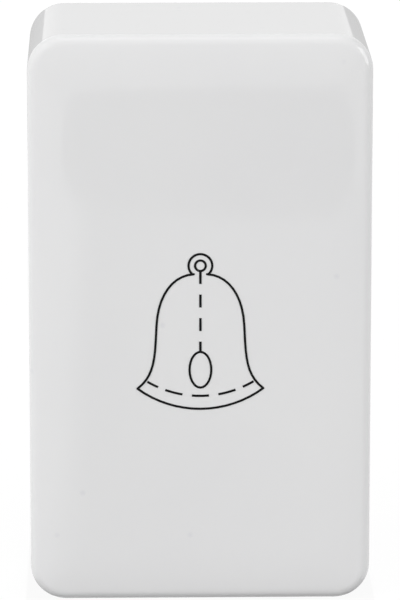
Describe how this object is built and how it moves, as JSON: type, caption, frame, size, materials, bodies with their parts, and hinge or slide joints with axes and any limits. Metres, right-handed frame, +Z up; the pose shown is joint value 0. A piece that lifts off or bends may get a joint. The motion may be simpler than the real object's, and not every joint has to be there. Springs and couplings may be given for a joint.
{
  "type": "wired doorbell push",
  "caption": "Upright rounded white doorbell push for a wall: the whole front is a hinged key with a bell outline, sprung over a tray with contacts, terminals and a cable entry.",
  "frame": {"origin": "middle of the back face of the tray, in the plane of the wall", "axes": "+Y into the wall, so the front faces -Y; +Z up the wall; +X to the right of someone in front of it"},
  "size_m": [0.04, 0.025, 0.0676],
  "materials": {
    "gloss_white_abs": "gloss",
    "satin_white_abs": "satin",
    "natural_nylon": "satin",
    "black_ink": "satin",
    "steel": "plain",
    "zinc_plated_steel": "plated",
    "brass": "plain",
    "phosphor_bronze": "plain",
    "silver_contact": "plain",
    "black_rubber": "matte",
    "fibre_sheet": "matte"
  },
  "bodies": {
    "base": {"base_plate": "satin_white_abs", "back_insulator": "fibre_sheet", "cable_grommet": "black_rubber", "hinge_pin_left": "steel", "hinge_pin_right": "steel", "fixed_contact_strip": "brass", "fixed_contact": "silver_contact", "contact_leaf": "phosphor_bronze", "contact_rivets": "brass", "terminal_nuts": "zinc_plated_steel", "clamp_washers": "brass", "terminal_screws": "zinc_plated_steel", "return_spring_left": "steel", "return_spring_right": "steel", "stop_pad_left": "black_rubber", "stop_pad_right": "black_rubber"},
    "key": {"rocker_carrier": "natural_nylon", "plunger": "natural_nylon", "moving_contact": "silver_contact", "key_cap": "gloss_white_abs", "bell_symbol": "black_ink"}
  },
  "joints": [
    {"name": "key_press", "type": "hinge", "parent": "base", "child": "key", "pos_m": [0, -0.011, 0.025], "axis": [1, 0, 0], "range_deg": [0, 2.2], "stiffness_Nm_per_rad": 1.2, "springref_deg": -1.72, "deforming": ["contact_leaf", "return_spring_left", "return_spring_right"]}
  ]
}
